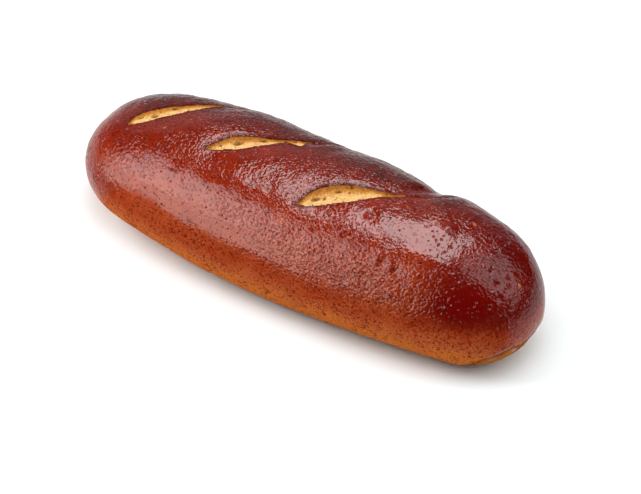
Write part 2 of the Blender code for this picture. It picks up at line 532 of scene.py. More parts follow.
SLASHES = (
    Slash(
        "crumb_far", (-0.0643, -0.0080), math.radians(42), 0.0356, 0.00006,
        front=(
            (2, 50), (4, 28), (9, -22), (14, -64), (20, -88), (25, -95), (31, -124), (37, -128),
            (43, -115), (49, -94), (54, -44), (61, -20), (67, 12), (73, 45), (79, 85), (84, 120),
            (87, 150),
        ),
        back=(
            (2, 55), (3, 140), (5, 240), (8, 305), (12, 375), (16, 405), (21, 412), (26, 400),
            (31, 388), (36, 382), (41, 370), (48, 328), (54, 295), (61, 288), (68, 282),
            (74, 270), (80, 240), (84, 205), (87, 155),
        ),
        pores=((0.26, 0.36, 1.3, 0.8), (0.14, 0.55, 0.8, 0.35), (0.45, 0.7, 0.9, 0.4)),
    ),
    Slash(
        "crumb_middle", (-0.0333, -0.0080), math.radians(38), 0.0325, 0.00012,
        front=(
            (-1, -5), (3, -81), (10, -126), (17, -154), (23, -191), (29, -209), (36, -210),
            (41, -180), (47, -165), (54, -159), (60, -155), (66, -123), (73, -72), (77, -68),
            (81, -93), (85, -170), (89, -290), (92, -305), (94, -250), (96, -130), (99, -40),
            (102, -5),
        ),
        back=(
            (-1, 0), (3, 77), (7, 134), (12, 195), (17, 270), (22, 328), (28, 350), (33, 348),
            (40, 318), (46, 295), (50, 264), (56, 210), (61, 158), (67, 125), (74, 110),
            (79, 92), (83, 85), (89, 62), (95, 30), (102, 10),
        ),
        pores=(
            (0.31, 0.46, 1.5, 0.8),
            (0.14, 0.5, 0.5, 0.4),
            (0.56, 0.62, 1.2, 0.4),
            (0.78, 0.45, 0.5, 0.4),
        ),
    ),
    Slash(
        "crumb_near", (0.0040, -0.0133), math.radians(34.5), 0.0295, 0.00010,
        front=(
            (-1, -25), (3, -86), (8, -112), (14, -128), (21, -152), (27, -170), (34, -162),
            (40, -167), (45, -173), (52, -190), (59, -182), (69, -140), (76, -90), (84, -65),
            (90, -60), (97, -85), (101, -110), (108, -125), (112, -115),
        ),
        back=(
            (-1, -20), (4, 80), (7, 162), (11, 242), (16, 325), (21, 383), (26, 425), (33, 450),
            (39, 470), (46, 470), (53, 456), (59, 420), (65, 380), (72, 320), (79, 270),
            (85, 200), (92, 130), (98, 60), (101, -20), (108, -95), (112, -105),
        ),
        pores=(
            (0.20, 0.40, 1.6, 0.6),
            (0.29, 0.36, 0.5, 0.6),
            (0.58, 0.86, 0.5, 0.5),
            (0.44, 0.62, 1.0, 0.4),
        ),
    ),
)

CREASES = (
    Crease((27.0, 3.0), (35.0, 15.0), 1.0, 2.0),
    Crease((-9.0, 10.5), (-3.0, 15.0), 0.5, 1.8),
    Crease((33.0, 4.5), (44.0, 15.0), 0.35, 0.8),
    Crease((-7.0, 12.5), (1.0, 18.5), 0.30, 0.7),
    Crease((-40.0, 14.5), (-33.0, 19.0), 0.25, 0.7),
)

SPOTS = (
    Spot((27.2, -8.4), 2.2, -0.8, -1.3, 1.9),
    Spot((50.8, -0.4), 1.8, 0.6),
    Spot((36.0, -17.4), 1.4, 0.6),
    Spot((37.8, -18.4), 1.2, -0.5),
    Spot((42.5, -18.6), 1.3, -0.6),
    Spot((40.8, -18.0), 1.2, 0.4),
    Spot((38.1, -15.2), 1.3, 0.3),
    Spot((67.8, -4.2), 1.6, 0.1, 0.6, 1.5),
    Spot((71.0, -6.6), 1.6, 0.1, 0.7, 1.5),
    Spot((73.1, -1.9), 1.3, 0.1, 0.5, 1.5),
    Spot((74.6, -3.6), 1.4, 0.1, 0.6, 1.5),
    Spot((74.0, -8.5), 1.3, 0.1, 0.5, 1.5),
    Spot((75.2, -7.5), 1.2, 0.2),
    Spot((-58.3, -11.2), 2.4, 0.4),
    Spot((-48.4, -9.0), 2.4, 0.4),
)


@dataclass(frozen=True)
class Mark:
    """A small speck on the crust, or a streak when it has an end, in millimetres."""

    start: Point
    radius: float
    end: Point | None = None
    strength: float = 1.0

    def weight(self, points: Array) -> Array:
        """Give how much of the mark there is.

        Args:
            points: The crust's points.

        Returns:
            From 0 to the mark's strength at each point.
        """
        start = np.array(self.start) * MM
        run = np.array(self.end or self.start) * MM - start
        share = np.clip((points - start) @ run / max(float(run @ run), 1e-12), 0, 1)
        away = np.linalg.norm(points - start - share[:, None] * run, axis=1)
        return self.strength * np.exp(-((away / (self.radius * MM)) ** 4))


MARKS = {
    Layer.GOLD: (
        Mark((-50.8, -6.2, 41.3), 0.55),
        Mark((-46.0, 0.6, 42.5), 0.50),
        Mark((56.1, 6.3, 41.6), 0.55),
        Mark((76.3, -1.0, 31.9), 0.45),
        Mark((-43.8, -25.2, 13.4), 0.30, (-36.7, -26.0, 13.8), 0.4),
        Mark((23.4, 5.4, 43.4), 0.35, (25.5, 6.7, 43.0), 0.35),
        Mark((28.0, 3.4, 42.9), 0.45, (31.5, 4.6, 42.8), 0.60),
    ),
    # Painted shade in cracks, pores, pits and round blisters.
    Layer.DARK: (
        Mark((-41.2, -18.0, 37.1), 0.50, (-38.8, -18.0, 37.2)),
        Mark((-15.3, -26.8, 15.5), 0.50),
        Mark((-54.2, -17.6, 35.1), 0.45),
        Mark((-43.6, -23.3, 29.5), 0.40),
        Mark((-35.2, -19.8, 35.8), 0.40),
        Mark((27.2, -5.8, 43.2), 0.45, (29.7, -6.4, 43.1)),
        Mark((26.0, -8.8, 42.5), 0.45, (27.1, -10.3, 41.9)),
        Mark((36.8, -18.3, 36.0), 0.50),
        Mark((41.6, -18.0, 35.0), 0.35, (43.2, -19.2, 33.6), 0.7),
        Mark((67.8, -4.3, 36.7), 0.70),
        Mark((71.0, -6.6, 33.9), 0.80),
        Mark((73.1, -1.9, 34.4), 0.60),
        Mark((74.4, -3.6, 32.5), 0.60),
        Mark((74.0, -8.5, 31.9), 0.55),
    ),
    Layer.FLOUR: (
        Mark((80.1, -8.7, 12.1), 1.00),
        Mark((81.1, -7.2, 14.6), 0.60),
        Mark((70.0, -17.2, 6.0), 0.60, (73.0, -15.2, 6.5), 0.6),
    ),
}


@dataclass(frozen=True)
class Seam:
    """The edge of the tray side: a low strip that no glaze reached, higher at the near end."""

    low: float = 2.6 * MM
    rise: float = 12.4 * MM
    start: float = 60 * MM
    full: float = 82 * MM
    step: float = 0.45 * MM
    step_run: float = 10 * MM
    wander: Point = (4.0, 12.5, 0.7)

    def over(self, points: Array) -> Array:
        """Give how far points lie over the seam."""
        height = self.low + self.rise * eased(points[:, 0], self.start, self.full)
        return points[:, 2] - height - grain(points * [1, 1, 0], self.wander) * MM

    def relief(self, points: Array) -> Array:
        """Give the step inwards under the seam, at the near end alone."""
        near = eased(points[:, 0], self.start, self.start + self.step_run)
        return -self.step * near * (1 - eased(self.over(points), -0.5 * MM, 0.5 * MM))


@dataclass(frozen=True)
class Bun:
    """The bun's finished form, which its crust and its crumb both follow."""

    loaf: Loaf = Loaf()
    slashes: tuple[Slash, ...] = SLASHES
    creases: tuple[Crease, ...] = CREASES
    spots: tuple[Spot, ...] = SPOTS
    seam: Seam = Seam()
    level_enough: float = 0.3
    seat_rows: tuple[int, int] = (300, 240)

    def surface(self, station: Array, angle: Array, lips: float = 1.0) -> Array:
        """Give the crust's surface: the loaf with its relief pushed along its normals.

        Args:
            station: From -1, the far tip, to 1, the near tip.
            angle: Round the section, from 0 at the back, over the crown.
            lips: How much there is of the lips behind the slashes.

        Returns:
            Points, with the last axis for X, Y and Z.
        """
        station, angle = np.broadcast_arrays(station, angle)
        points = self.loaf.points(station, angle)
        normals = self.loaf.normals(station, angle)
        x, y = points[..., 0], points[..., 1]
        relief = sum(slash.relief(x, y, lips) for slash in self.slashes)
        relief = relief + sum(crease.relief(x, y) for crease in self.creases)
        relief = relief + sum(spot.relief(self.loaf, points) for spot in self.spots)
        on_top = eased(normals[..., 2], 0.0, self.level_enough)
        return points + normals * (relief * on_top)[..., None]

    def top(self, x: Array, y: Array, lips: float = 1.0) -> Array:
        """Give the crust's height at places seen from above."""
        return self.surface(*self.loaf.place_on_top(x, y), lips)[..., 2]

    def seat(self) -> Array:
        """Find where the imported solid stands.

        Returns:
            The move that brings the form there.
        """
        stations = np.linspace(-1, 1, self.seat_rows[0])
        angles = np.linspace(0, 2 * math.pi, self.seat_rows[1])
        points = self.surface(stations[:, None], angles[None, :]).reshape(-1, 3)
        middle = (points.min(axis=0) + points.max(axis=0)) / 2
        place = np.mean(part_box("bun"), axis=0)
        return np.array([place[0] - middle[0], place[1] - middle[1], 0.0])


# --- Finishes -------------------------------------------------------------------------


class Recipe:
    """The nodes of a material, or of the surroundings, added and wired one by one."""

    def __init__(self, owner: bpy.types.Material | bpy.types.World, place: str = "Object") -> None:
        """Start with an empty recipe.

        Args:
            owner: What the nodes belong to.
            place: The coordinates that its patterns follow.
        """
        self.owner = owner
        owner.use_nodes = True
        self.tree = owner.node_tree
        self.tree.nodes.clear()
        self.place = self.add("ShaderNodeTexCoord").outputs[place]

    def add(self, kind: str, inputs: dict | None = None, **settings: object) -> bpy.types.Node:
        """Add a node.

        Args:
            kind: The node's type.
            inputs: What goes in each input, by name or number: a value or another
                node's output.
            **settings: The node's own settings.

        Returns:
            The new node.
        """
        node = self.tree.nodes.new(kind)
        for key, value in settings.items():
            setattr(node, key, value)
        for key, value in (inputs or {}).items():
            if isinstance(value, Output):
                self.tree.links.new(value, node.inputs[key])
            else:
                node.inputs[key].default_value = value
        return node

    def read(self, layer: Layer) -> Output:
        """Give the output that reads a painted layer."""
        return self.add("ShaderNodeAttribute", attribute_name=layer.value).outputs["Fac"]

    def reckon(self, operation: str, *values: object) -> Output:
        """Calculate with outputs and numbers."""
        return self.add("ShaderNodeMath", dict(enumerate(values)), operation=operation).outputs[0]

    def vector(self, operation: str, *values: object, result: str = "Vector") -> Output:
        """Calculate with vectors, to a vector or to a value."""
        node = self.add("ShaderNodeVectorMath", dict(enumerate(values)), operation=operation)
        return node.outputs[result]

    def times(self, first: object, second: object) -> Output:
        """Multiply two outputs."""
        return self.reckon("MULTIPLY", first, second)

    def sum(self, *parts: tuple[object, float], start: float = 0.0) -> Output:
        """Add up outputs.

        Args:
            *parts: The outputs, each with its own factor.
            start: The number that they are added to.

        Returns:
            The output with the sum.
        """
        total: object = start
        for value, factor in parts:
            total = self.reckon("MULTIPLY_ADD", value, factor, total)
        return total

    def tone(self, colour: Output, strength: Output) -> Output:
        """Make a colour lighter or darker by a factor."""
        inputs = {0: colour, "Scale": strength}
        return self.add("ShaderNodeVectorMath", inputs, operation="SCALE").outputs[0]

    def stretch(self, value: object, low: float, high: float, *to: float) -> Output:
        """Map a run of values smoothly onto 0 to 1, or onto another run.

        Args:
            value: The output to map.
            low: Where the run starts.
            high: Where it ends.
            *to: What low and high turn into.

        Returns:
            The output with the mapped value.
        """
        names = ("Value", "From Min", "From Max", "To Min", "To Max")
        inputs = dict(zip(names, (value, low, high, *(to or (0.0, 1.0)))))
        node = self.add("ShaderNodeMapRange", inputs, interpolation_type="SMOOTHSTEP")
        return node.outputs[0]

    def ramp(self, value: Output, stops: tuple[tuple[float, Colour], ...]) -> Output:
        """Turn a value into a colour.

        Args:
            value: The output with the value.
            stops: Values along the ramp, and their colours.

        Returns:
            The output with the colour.
        """
        node = self.add("ShaderNodeValToRGB", {"Fac": value})
        elements = node.color_ramp.elements
        while len(elements) < len(stops):
            elements.new(0.5)
        for element, (position, colour) in zip(elements, stops):
            element.position = position
            element.color = colour
        return node.outputs["Color"]

    def blend(self, share: object, first: object, second: object) -> Output:
        """Mix two colours by a share of the second."""
        inputs = {0: share, 6: first, 7: second}
        return self.add("ShaderNodeMix", inputs, data_type="RGBA").outputs[2]

    def noise(self, size: float, detail: float, rough: float = 0.5) -> Output:
        """Give noise whose lumps have a size in metres."""
        inputs = {"Vector": self.place, "Scale": 1 / size, "Detail": detail, "Roughness": rough}
        return self.add("ShaderNodeTexNoise", inputs).outputs["Fac"]

    def cells(self, size: float, swirl: float, reach: float) -> tuple[Output, Output, Output]:
        """Cover the surface with irregular cells.

        Args:
            size: The size of a cell.
            swirl: The size of the swirls that make the cells irregular.
            reach: How far the swirls move them.

        Returns:
            The distance from a cell's middle, and two numbers that each cell has of its own.
        """
        inputs = {"Vector": self.place, "Scale": 1 / swirl, "Detail": 1.0}
        colour = self.add("ShaderNodeTexNoise", inputs).outputs["Color"]
        centred = self.vector("SUBTRACT", colour, (0.5, 0.5, 0.5))
        ragged = self.vector("MULTIPLY_ADD", centred, (reach, reach, reach), self.place)
        inputs = {"Vector": ragged, "Scale": 1 / size, "Randomness": 1.0}
        cells = self.add("ShaderNodeTexVoronoi", inputs).outputs
        lots = self.add("ShaderNodeSeparateColor", {"Color": cells["Color"]}).outputs
        return cells["Distance"], lots["Red"], lots["Green"]

    def finish(self, shader: bpy.types.Node, kind: str = "Material") -> object:
        """Wire a shader to the output and give what the nodes belong to."""
        self.add("ShaderNodeOutput" + kind, {"Surface": shader.outputs[0]})
        return self.owner


@dataclass(frozen=True)
class GlazedCrust:
    """Baked dough under a thin clear glaze: tan at the base, mahogany on top."""

    browning: tuple[tuple[float, Colour], ...] = (
        (0.00, (0.52, 0.136, 0.024, 1)),
        (0.15, (0.46, 0.108, 0.028, 1)),
        (0.30, (0.39, 0.073, 0.022, 1)),
        (0.45, (0.32, 0.040, 0.009, 1)),
        (0.60, (0.24, 0.020, 0.0045, 1)),
        (0.75, (0.175, 0.0118, 0.0038, 1)),
        (0.90, (0.105, 0.0068, 0.0035, 1)),
        (1.00, (0.055, 0.0042, 0.003, 1)),
    )
    deep_red: Colour = (0.14, 0.0015, 0.001, 1)
    # Singed crust with painted shade, for the band round the slashes.
    scorched_and_shaded: Colour = (0.050, 0.005, 0.007, 1)
    pit_shade: Colour = (0.11, 0.004, 0.001, 1)
    fleck: Colour = (0.45, 0.16, 0.030, 1)
    bare_light: Colour = (0.40, 0.125, 0.018, 1)
    bare_dark: Colour = (0.22, 0.045, 0.007, 1)
    flour: Colour = (0.70, 0.50, 0.42, 1)
    leather_size: float = 0.92 * MM
    mottle_size: float = 0.80 * MM
    speckle_size: float = 0.45 * MM
    cloud_size: float = 7.0 * MM
    pit_size: float = 1.6 * MM
    nub_size: float = 1.35 * MM
    pebble_size: float = 1.0 * MM
    plateau_size: float = 1.7 * MM

    def material(self) -> bpy.types.Material:
        """Build the crust's material.

        Returns:
            The material, whose glaze breaks up along its lower edge and over pits, the
            singed band with painted shade round the slashes, and the strip that lay on the tray.
        """
        recipe = Recipe(bpy.data.materials.new("glazed_crust"))
        glaze = recipe.read(Layer.GLAZE)
        peel = recipe.read(Layer.PEEL)
        leather = recipe.noise(self.leather_size, 0)
        dent = recipe.stretch(recipe.sum((leather, 1.0), (peel, 0.20)), 0.64, 0.73)
        pit = self.pits(recipe)
        broken = recipe.noise(self.mottle_size, 2)
        line = recipe.sum((glaze, 1.0), (broken, 6.0), start=-3.0)
        whole = recipe.sum(
            (dent, -0.3),
            (pit, -0.9),
            (recipe.read(Layer.DARK), -0.8),
            (recipe.read(Layer.SCORCH), -0.75),
            (recipe.read(Layer.STRIP), -1.0),
            start=1.0,
        )
        shine = recipe.times(recipe.stretch(line, -1.8, 1.8), whole)
        satin = recipe.stretch(glaze, -9.0, -1.5)
        coat = recipe.sum((shine, 0.91), (satin, 0.06))
        bumps = self.bumps(recipe, peel, leather, (dent, -0.02), (pit, -0.12))
        inputs = {
            "Base Color": self.colours(recipe, peel, recipe.sum((dent, 0.60), (pit, 0.8))),
            "Roughness": 0.5,
            "Specular IOR Level": 0.0,
            "Coat Weight": recipe.reckon("MAXIMUM", coat, 0.0),
            "Coat Roughness": 0.05,
            "Coat IOR": 1.55,
            "Normal": bumps,
            "Coat Normal": bumps,
        }
        return recipe.finish(recipe.add("ShaderNodeBsdfPrincipled", inputs))

    def colours(self, recipe: Recipe, peel: Output, shaded: Output) -> Output:
        """Give the crust's colour: its browning, with its marks and painted shade over it.

        Args:
            recipe: The material being built.
            peel: The output with how rough the skin is, which its colour varies by.
            shaded: The output that shows where dents and pits darken the skin.

        Returns:
            The output with the colour.
        """
        cloud = recipe.noise(self.cloud_size, 5, 0.6)
        mottle = recipe.noise(self.mottle_size, 3, 0.75)
        speckle = recipe.noise(self.speckle_size, 1)
        fine = recipe.stretch(peel, 0.05, 0.30, 0.45, 1.0)
        spread = recipe.times(fine, recipe.sum((mottle, 1.0), start=-0.5))
        bake_and_shade = recipe.read(Layer.BAKE)
        brown = recipe.sum((bake_and_shade, 1.0), (cloud, 0.34), (spread, 0.65), start=-0.17)
        strength = recipe.times(fine, recipe.stretch(speckle, 0.25, 0.75, -0.38, 0.38))
        colour = recipe.ramp(brown, self.browning)
        colour = recipe.tone(colour, recipe.sum((strength, 1.0), start=1.0))
        patch = recipe.stretch(recipe.noise(3.0 * MM, 5, 0.65), 0.35, 0.62)
        # Painted shade: the slashes' band (with singed crust), dents, pits, cracks and the seam.
        for share, over in (
            (recipe.read(Layer.DEEP), self.deep_red),
            (recipe.read(Layer.SCORCH), self.scorched_and_shaded),
            (shaded, self.pit_shade),
            (recipe.read(Layer.GOLD), self.fleck),
            (recipe.times(recipe.read(Layer.DARK), 0.8), self.pit_shade),
            (recipe.read(Layer.STRIP), recipe.blend(patch, self.bare_light, self.bare_dark)),
            (recipe.read(Layer.SEAM), self.pit_shade),
            (recipe.times(recipe.read(Layer.FLOUR), mottle), self.flour),
        ):
            colour = recipe.blend(share, colour, over)
        return colour

    def pits(self, recipe: Recipe) -> Output:
        """Give where the skin has small ragged pits: one in some of its cells."""
        away, lot, _ = recipe.cells(self.pit_size, 0.5 * MM, 0.9 * MM)
        return recipe.times(recipe.stretch(away, 0.24, 0.10), recipe.stretch(lot, 0.55, 0.75))

    def nubs(self, recipe: Recipe) -> Output:
        """Give the skin's tiny blisters and dimples, thick where it is gritty.

        Args:
            recipe: The material being built.

        Returns:
            The output that is above 0 in a blister and below it in a dimple.
        """
        away, lot, side = recipe.cells(self.nub_size, 0.9 * self.nub_size, 0.4 * self.nub_size)
        grit = recipe.read(Layer.GRIT)
        chosen = recipe.stretch(recipe.sum((lot, 1.0), (grit, 1.0)), 0.97, 1.03)
        nub = recipe.times(recipe.stretch(away, 0.45, 0.04), chosen)
        return recipe.times(nub, recipe.stretch(side, 0.44, 0.46, -1.0, 1.0))

    def bumps(
        self, recipe: Recipe, peel: Output, leather: Output, *hollows: tuple[Output, float]
    ) -> Output:
        """Give the normals of the crust's finest relief.

        Args:
            recipe: The material being built.
            peel: The output with how rough the skin is.
            leather: The output with its leathery grain.
            *hollows: The outputs with its dents and pits, and their depths.

        Returns:
            The output with the bumped normal.
        """
        away, _, _ = recipe.cells(self.pebble_size, 0.9 * MM, 0.5 * MM)
        plateau = recipe.stretch(recipe.noise(self.plateau_size, 0), 0.44, 0.56)
        height = recipe.sum(
            (recipe.times(recipe.times(away, away), peel), -0.10),
            (recipe.times(recipe.stretch(leather, 0.41, 0.59), peel), -0.19),
            (recipe.times(plateau, peel), 0.12),
            *hollows,
            (self.nubs(recipe), 0.21),
        )
        inputs = {"Strength": 1.0, "Distance": MM, "Height": height}
        return recipe.add("ShaderNodeBump", inputs).outputs["Normal"]


@dataclass(frozen=True)
class OpenCrumb:
    """Crumb in a slash: cream where it rose first, browned, with painted shade, towards the lip."""

    cream: Colour = (0.72, 0.45, 0.190, 1)
    gold: Colour = (0.47, 0.20, 0.036, 1)
    toasted_and_shaded: Colour = (0.27, 0.085, 0.009, 1)
    # Painted shade in the pores.
    shaded_hollow: Colour = (0.12, 0.030, 0.002, 1)

    def material(self) -> bpy.types.Material:
        """Build the crumb's material.

        Returns:
            The material, clouded and speckled between cream and its browned, painted-shade parts.
        """
        recipe = Recipe(bpy.data.materials.new("open_crumb"))
        cloud = recipe.noise(2.4 * MM, 5, 0.65)
        speck = recipe.noise(0.6 * MM, 3, 0.65)
        toast_and_shade = recipe.read(Layer.TOAST)
        toast_and_shade = recipe.sum((toast_and_shade, 1.0), (cloud, 0.55), (speck, 1.20), start=-0.87)
        colour = recipe.ramp(toast_and_shade, ((0.02, self.cream), (0.42, self.gold), (0.90, self.toasted_and_shaded)))
        height = recipe.sum((cloud, 0.6), (speck, -1.0))
        bump = recipe.add(
            "ShaderNodeBump", {"Strength": 1.0, "Distance": 0.20 * MM, "Height": height}
        )
        inputs = {
            "Base Color": recipe.blend(recipe.read(Layer.HOLLOW), colour, self.shaded_hollow),
            "Roughness": 0.75,
            "Specular IOR Level": 0.05,
            "Normal": bump.outputs["Normal"],
        }
        return recipe.finish(recipe.add("ShaderNodeBsdfPrincipled", inputs))


# --- The bun's pieces -----------------------------------------------------------------


@dataclass(frozen=True)
class Zone:
    """A part of the front or the top where the skin differs, in millimetres.

    It has a middle and a reach along X, and either up Z or across Y.
    """

    along: Pair
    up: Pair | None = None
    across: Pair | None = None
    strength: float = 1.0
    top: float = 30.0

    def weight(self, points: Array) -> Array:
        """Give how much of the zone there is.

        Args:
            points: The crust's points.

        Returns:
            From 0 to the zone's strength at each point.
        """
        x, y, z = points.T / MM
        if self.up:
            side = hump(z, *self.up) * (y < 0)
        else:
            side = hump(y, *self.across) * (z > self.top)
        return self.strength * hump(x, *self.along) * side


@dataclass(frozen=True)
class Crust:
    """The bun's whole skin: moulded from a block, roughened, and opened at its slashes."""

    bun: Bun
    finish: GlazedCrust = GlazedCrust()
    lanes: int = 3
    cuts: int = 79
    cap: float = 0.022
    base_rim: float = math.radians(52)
    shoulder: float = math.radians(50)
    table_rows: int = 4001
    almost: float = 1 - 1e-5
    rim_clear: Pair = (0.6 * MM, 4 * MM)
    sharp: float = math.radians(48)
    opening_depth: float = 2.6 * MM
    opening_rows: int = 150
    lumps: tuple[Point, ...] = ((13, 3.1, 0.20), (5, 7.7, 0.13))
    peel: tuple[Point, ...] = ((2.6, 1.9, 0.034), (1.6, 5.2, 0.022))
    wander: tuple[Point, ...] = ((11, 2.3, 1.6), (4, 8.8, 0.8))
    bumpy: Zone = Zone((30, 23), up=(30, 7))
    smooth: tuple[Zone, ...] = (
        Zone((-36, 30), up=(29, 7), strength=1.3),
        Zone((36, 18), across=(-7.5, 5.5), strength=1.2),
        Zone((-38, 26), up=(39.5, 3.5), strength=0.9),
    )
    browned: tuple[Pair, ...] = (
        (7, 0.00), (11, 0.09), (14, 0.23), (17, 0.35), (20, 0.43), (32, 0.44),
        (35, 0.50), (38, 0.59), (40, 0.66), (42, 0.69), (44, 0.77),
    )

    def build(self) -> Piece:
        """Mould, roughen, open, paint and dress the crust.

        Returns:
            The crust.
        """
        crust = self.block()
        mould(crust, self.bun.surface(*self.skin_places(rows_of(crust))))
        self.roughen(crust)
        for slash in self.bun.slashes:
            self.open(crust, slash)
        finish_with(crust, "TRIANGULATE", ngon_method="BEAUTY", min_vertices=5)
        self.paint_layers(crust)
        shade(crust, self.sharp)
        crust.data.materials.clear()
        crust.data.materials.append(self.finish.material())
        return crust

    def block(self) -> Piece:
        """Start from a block of dough the size of the bun.

        Returns:
            The block, divided into a fine net.
        """
        loaf = self.bun.loaf
        size, middle = (loaf.length, loaf.width, loaf.height), (0, 0, loaf.height / 2)
        cube = bpy.ops.mesh.primitive_cube_add
        block = start_from(cube, "crust", size=1, scale=size, location=middle)
        bpy.ops.object.mode_set(mode="EDIT")
        for lane in range(1, self.lanes):
            bpy.ops.mesh.select_all(action="SELECT")
            cut = loaf.length * (lane / self.lanes - 0.5)
            bpy.ops.mesh.bisect(plane_co=(cut, 0, 0), plane_no=(1, 0, 0))
        bpy.ops.mesh.select_all(action="SELECT")
        bpy.ops.mesh.subdivide(number_cuts=self.cuts)
        bpy.ops.object.mode_set(mode="OBJECT")
        return block

    @staticmethod
    def run_of(line: Array) -> Array:
        """Give how far along a line each of its points lies."""
        return np.concatenate([[0], np.cumsum(np.linalg.norm(np.diff(line, axis=0), axis=1))])

    def skin_places(self, points: Array) -> tuple[Array, Array]:
        """Give where each point of the block lies on the loaf's skin.

        Args:
            points: The block's points.

        Returns:
            Their stations and section angles, evenly spread over the skin.
        """
        loaf = self.bun.loaf
        half = np.array([loaf.length, loaf.width, loaf.height]) / 2
        unit = (points - [0, 0, loaf.height / 2]) / half
        reach = np.maximum(np.abs(unit[:, 1]), np.abs(unit[:, 2]))
        table = -np.cos(np.linspace(0, math.pi, self.table_rows))
        run = self.run_of(np.stack([table * loaf.length / 2, loaf.half_width(table)], -1))
        on_side = np.interp(unit[:, 0], [-1, 1], [self.cap, run[-1] - self.cap])
        on_cap = np.where(unit[:, 0] < 0, self.cap * reach, run[-1] - self.cap * reach)
        at_end = np.abs(unit[:, 0]) > self.almost
        station = np.interp(np.where(at_end, on_cap, on_side), run, table)
        return station, self.section_angle(unit[:, 1], unit[:, 2], reach)

    def section_angle(self, y: Array, z: Array, reach: Array) -> Array:
        """Turn places on the block's square section into angles round the loaf's.

        Args:
            y: The places' Y, from -1 to 1.
            z: The places' Z, from -1 to 1.
            reach: How far out each lies, from 0 to 1.

        Returns:
            The section angles.
        """
        square = np.maximum(reach, 1e-9)
        y, z = y / square, z / square
        ring = np.select(
            [(z >= self.almost), (z <= -self.almost), (y >= self.almost)],
            [1 + (1 - y) / 2, 3 + (1 + y) / 2, (1 + z) / 2],
            2 + (1 - z) / 2,
        )
        rim, shoulder = self.base_rim, self.shoulder
        turn = np.linspace(-rim, 2 * math.pi - rim, self.table_rows)
        run = self.run_of(self.bun.loaf.points(np.zeros_like(turn), turn))
        corners = [-rim, shoulder, math.pi - shoulder, math.pi + rim, turn[-1]]
        return np.interp(np.interp(ring, range(5), np.interp(corners, turn, run)), run, turn)

    def roughen(self, crust: Piece) -> None:
        """Push the crust's lumps and orange peel out along its normals.

        Args:
            crust: The moulded crust.
        """
        points = rows_of(crust)
        _, y, z = points.T / MM
        ridge = eased(y, 0, 12) * eased(z, 26, 36)
        peel = grain(points, *self.peel) * (0.7 + 3.2 * self.bumpy.weight(points) + 3.8 * ridge)
        rough = (grain(points, *self.lumps) + peel) * MM + self.bun.seam.relief(points)
        clear = eased(points[:, 2], *self.rim_clear)
        mould(crust, points + rows_of(crust, "normal") * (rough * clear)[:, None])

    def open(self, crust: Piece, slash: Slash) -> None:
        """Cut a slash's opening out of the crust.

        Args:
            crust: The roughened crust.
            slash: The slash to open.
        """
        cutter, along, lane = ribbon(slash.name + "_opening", self.opening_rows, 2)
        share = slash.span[0] + (slash.span[1] - slash.span[0]) * along
        front, back = slash.edges(share)
        x, y = slash.place(share, front + (back - front) * lane)
        mould(cutter, np.stack([x, y, self.bun.top(x, y) - self.opening_depth], -1))
        rise = {"value": (0, 0, 3 * self.opening_depth)}
        bpy.ops.object.mode_set(mode="EDIT")
        bpy.ops.mesh.select_all(action="SELECT")
        bpy.ops.mesh.extrude_region_move(TRANSFORM_OT_translate=rise)
        bpy.ops.mesh.select_all(action="SELECT")
        bpy.ops.mesh.normals_make_consistent(inside=False)
        bpy.ops.object.mode_set(mode="OBJECT")
        finish_with(crust, "BOOLEAN", operation="DIFFERENCE", solver="EXACT", object=cutter)
        bpy.data.objects.remove(cutter)

    def bake_and_shade(self, points: Array, height: Array) -> Array:
        """Give how dark the crust is: browner over the crown and at the near end, darker at the
        back, and darker at the far end as painted shade.

        Args:
            points: The crust's points.
            height: Their wandering heights over the base, in millimetres.

        Returns:
            The darkness, from 0 to 1: browning, with painted shade at the far end.
        """
        x, y, z = points.T / MM
        browned = np.interp(height, *np.transpose(self.browned))
        behind = 0.36 * eased(y, -3, 20) * eased(z, 12, 34)
        # Painted shade: darker low on the far end, as though less light fell there.
        far = 0.26 * eased(-x, 50, 80) * eased(z, 4, 20)
        far_top = 0.16 * hump(x, -60, 16) * eased(z, 30, 36)
        near = 0.38 * eased(x, 46, 66) * eased(z, 20, 27) * (1 - 0.7 * eased(z, 36, 41))
        tip = 0.14 * eased(x, 72, 82)
        return np.clip(browned + behind + far + far_top + near + tip, 0, 0.98)

    @staticmethod
    def deep(points: Array) -> Array:
        """Give where the near end's crust is deep red instead of brown.

        Args:
            points: The crust's points.

        Returns:
            The share of deep red at each point.
        """
        x, y, z = points.T / MM
        patch = np.exp(-(np.hypot((x - 65) / 11.5, (z - 29.5) / 6.8) ** 3)) * eased(-y, 0, 8)
        halo = 0.45 * eased(x, 42, 58) * eased(z, 17, 26)
        return np.clip(np.maximum(patch, halo), 0, 0.96)

    def scorch_and_shade(self, points: Array) -> Array:
        """Give the dark ragged band round each slash: singed crust, and painted shade at the
        slash's edges.

        Args:
            points: The crust's points.

        Returns:
            How dark the band is at each point.
        """
        x, y, z = points.T
        away = np.min([slash.outside(x, y) for slash in self.bun.slashes], axis=0)
        singed = np.clip(0.75 + grain(points, (1.6, 4.9, 0.6)), 0.1, 1)
        return 0.9 * (1 - eased(away, 0.2 * MM, 1.7 * MM)) * singed * eased(z / MM, 20, 30)

